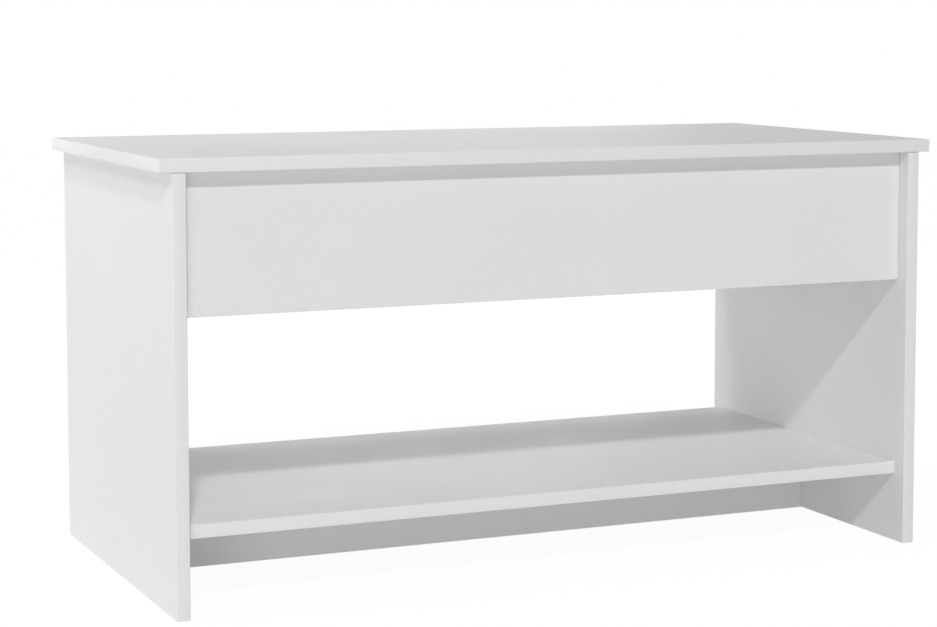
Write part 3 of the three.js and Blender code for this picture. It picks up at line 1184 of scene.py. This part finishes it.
# studio: white room and floor, a high key light from the front left, a wide one off the left end, soft panels
studioValues = {
    "room": 0.285,  # brightness that lights the table
    "backdrop": 1.0,  # brightness seen behind it
    "suns": [  # way to the light, strength, softness in degrees
        ((-0.25, -0.73, 0.64), 1.22, 4),
        ((-0.643, 0.1, 0.766), 0.77, 20),
    ],
    "panels": [  # place, width and height, power
        ((-2.8, 1.4, 0.55), (2.6, 1.2), 18.0),
        ((0.3, 3.2, 0.8), (3.2, 1.4), 20.0),
        ((-1.9, -3.3, 0.5), (1.4, 0.8), 18.0),
        ((2.9, 0.5, 0.6), (2.4, 1.2), 10.0),
    ],
    "panelAim": (0, 0, 0.3),
    "sunPlace": (0, 0, 3),
    "floorRadius": 9,
    "floorSides": 96,
    "floorDrop": 0.2 * mm,
    "floorColour": (0.86, 0.86, 0.86),
    "floorMottle": (0.843, 0.843, 0.843),
    "floorMottleScale": 30,
    "floorSplit": 0.5,  # share of the floor that glows
    "floorGlow": 0.58,
    "seenSplit": 0.9,  # the same two as the camera sees them, for a floor that stays pale
    "seenGlow": 1.04,
}


def addFloor():
    values = studioValues
    material = bpy.data.materials.new("pale_floor")
    graph = Graph(material)
    mottle = graph.noise(values["floorMottleScale"], 3)
    tone = graph.mix(mottle, values["floorColour"], values["floorMottle"])
    matt = graph.node("BsdfDiffuse", sockets={"Color": tone})
    seen = graph.node("LightPath", output="Is Camera Ray")
    strength = values["floorGlow"] + seen * (values["seenGlow"] - values["floorGlow"])
    split = values["floorSplit"] + seen * (values["seenSplit"] - values["floorSplit"])
    glow = graph.node("Emission", sockets={"Color": (1, 1, 1, 1), "Strength": strength})
    both = graph.node("MixShader", sockets={0: split, 1: matt, 2: glow})
    graph.node("OutputMaterial", sockets={"Surface": both}, output=None)
    floor = addPrimitive("circle", "floor", [material], vertices=values["floorSides"],
                         radius=values["floorRadius"], fill_type="NGON",
                         location=(0, 0, -values["floorDrop"]))


def addRoomLight():
    values = studioValues
    world = bpy.data.worlds.new("studio")
    bpy.context.scene.world = world
    graph = Graph(world)
    room = graph.node("Background", sockets={"Strength": values["room"], "Color": (1, 1, 1, 1)})
    backdrop = graph.node("Background", sockets={"Strength": values["backdrop"], "Color": (1, 1, 1, 1)})
    seen = graph.node("LightPath", output="Is Camera Ray")
    both = graph.node("MixShader", sockets={0: seen, 1: room, 2: backdrop})
    graph.node("OutputWorld", sockets={"Surface": both}, output=None)


def addLamps():
    values = studioValues
    for way, strength, softness in values["suns"]:
        turn = Vector(way).to_track_quat("Z", "Y").to_euler()
        bpy.ops.object.light_add(type="SUN", location=values["sunPlace"], rotation=turn)
        sun = bpy.context.object
        sun.data.energy = strength
        sun.data.angle = math.radians(softness)
    for place, size, power in values["panels"]:
        turn = (Vector(place) - Vector(values["panelAim"])).to_track_quat("Z", "Y").to_euler()
        bpy.ops.object.light_add(type="AREA", location=place, rotation=turn)
        panel = bpy.context.object
        panel.data.shape = "RECTANGLE"
        panel.data.size, panel.data.size_y = size
        panel.data.energy = power
        panel.visible_camera = False


addFloor()
addRoomLight()
addLamps()
bpy.context.scene.view_settings.view_transform = "Standard"
print("studio set")
